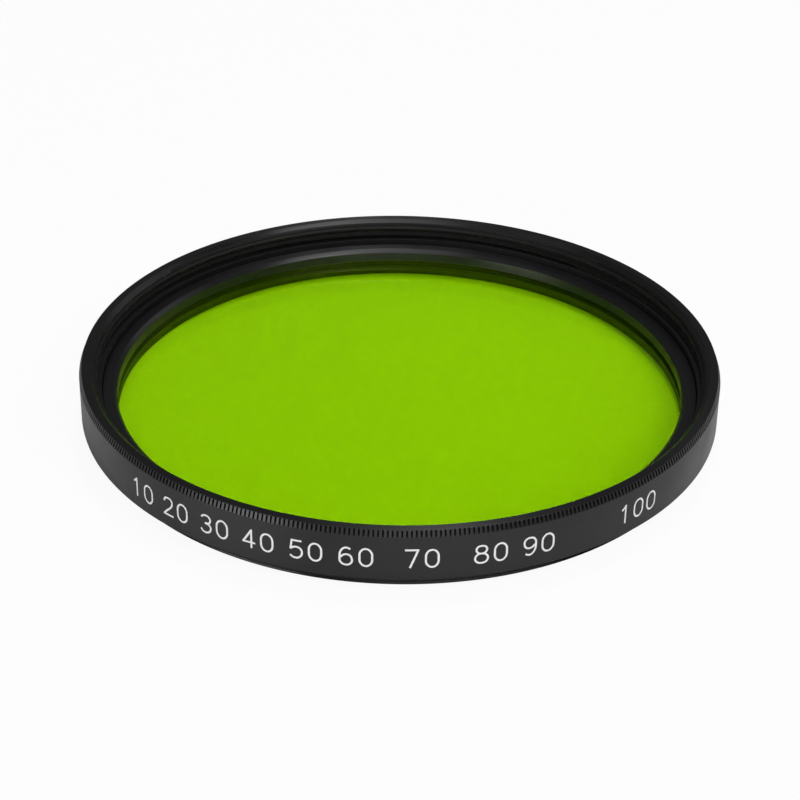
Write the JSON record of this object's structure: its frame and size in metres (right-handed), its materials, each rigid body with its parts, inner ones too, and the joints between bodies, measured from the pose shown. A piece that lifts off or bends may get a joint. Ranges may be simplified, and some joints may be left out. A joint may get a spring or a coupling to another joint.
{
  "type": "contrast filter",
  "caption": "Round screw-in contrast filter: a yellow-green glass disc held in a thin black knurled ring, threaded at the rear and inside the front.",
  "frame": {"origin": "on the optical axis, at the rear end of the rear thread, where the filter rests on a table", "axes": "+Z along the optical axis, out of the front of the filter; X and Y across it"},
  "size_m": [0.07, 0.07, 0.0074],
  "materials": {
    "frame": "satin black anodised, fine turned, white-filled engraving",
    "glass": "polished dyed-in-the-mass glass with a thin coating",
    "retainer": "satin black anodised, fine turned"
  },
  "bodies": {
    "root": {"frame_ring": "frame", "glass": "glass", "retaining_ring": "retainer"}
  },
  "joints": []
}
